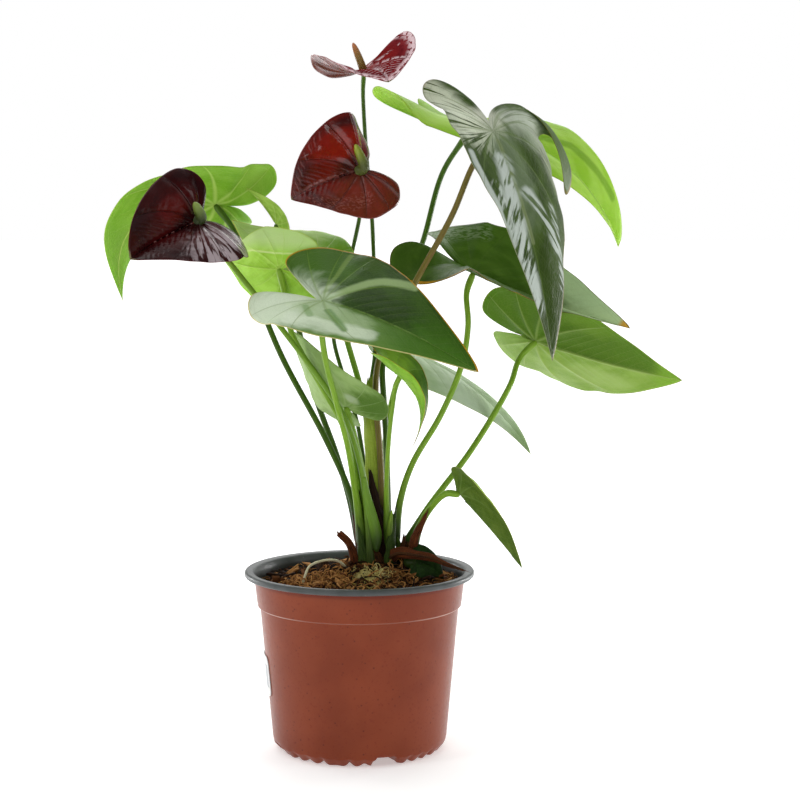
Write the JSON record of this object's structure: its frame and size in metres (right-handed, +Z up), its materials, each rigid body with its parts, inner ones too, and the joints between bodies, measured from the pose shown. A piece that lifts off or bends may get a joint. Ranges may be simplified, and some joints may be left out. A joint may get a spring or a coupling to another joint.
{
  "type": "potted anthurium",
  "caption": "Potted anthurium: a round tapered nursery pot of coir with heart-shaped leaves on long stalks and dark red waxy spathes with green spadices.",
  "frame": {"origin": "middle of the pot's foot, on the surface that it stands on", "axes": "+Z up, +X to the right of the picture, -Y towards its camera"},
  "size_m": [0.4283, 0.3025, 0.5277],
  "materials": {
    "pot_plastic": "terracotta thermoformed plastic with a light sheen, charcoal inside and on the lip",
    "label_paper": "bare white sticker with a pale grey block",
    "coir": "coir chips and fibre, orange brown to dark brown",
    "crown_bark": "dark brown dry sheath bases",
    "dry_sheath": "dry, papery brown bract",
    "sheath": "pale olive living sheath",
    "root": "pale aerial root",
    "leaf_green": "waxy mid-green leaf, paler veins",
    "leaf_dark": "glossy dark green leaf, silver reflections",
    "leaf_bright": "thin bright yellow-green leaf with light through it",
    "stalk": "green stalk, smooth, faintly ribbed",
    "spathe_maroon": "puckered, waxed dark maroon spathe",
    "spathe_dark": "puckered, waxed, almost black maroon spathe",
    "spadix": "green spadix set with florets"
  },
  "bodies": {
    "root": {"pot": "pot_plastic", "label": "label_paper", "soil": "coir", "crown": "crown_bark", "side_crown": "crown_bark", "sheath_pale": "sheath", "sheath_brown": "dry_sheath", "cut_stub": "dry_sheath", "dry_sheath": "dry_sheath", "aerial_root": "root", "leaf_front": "leaf_green", "leaf_tall": "leaf_dark", "leaf_right": "leaf_bright", "leaf_dark_right": "leaf_dark", "leaf_back_top": "leaf_bright", "leaf_left": "leaf_bright", "leaf_pale_back": "leaf_bright", "leaf_pale_under": "leaf_bright", "leaf_front_small": "leaf_green", "leaf_low_left": "leaf_green", "leaf_pale_right": "leaf_green", "leaf_low_right": "leaf_green", "leaf_at_rim": "leaf_dark", "leaf_left_small": "leaf_green", "bloom_top_stalk": "stalk", "bloom_top_spathe": "spathe_maroon", "bloom_top_spadix": "spadix", "bloom_middle_stalk": "stalk", "bloom_middle_spathe": "spathe_maroon", "bloom_middle_spadix": "spadix", "bloom_left_stalk": "stalk", "bloom_left_spathe": "spathe_dark", "bloom_left_spadix": "spadix"}
  },
  "joints": []
}
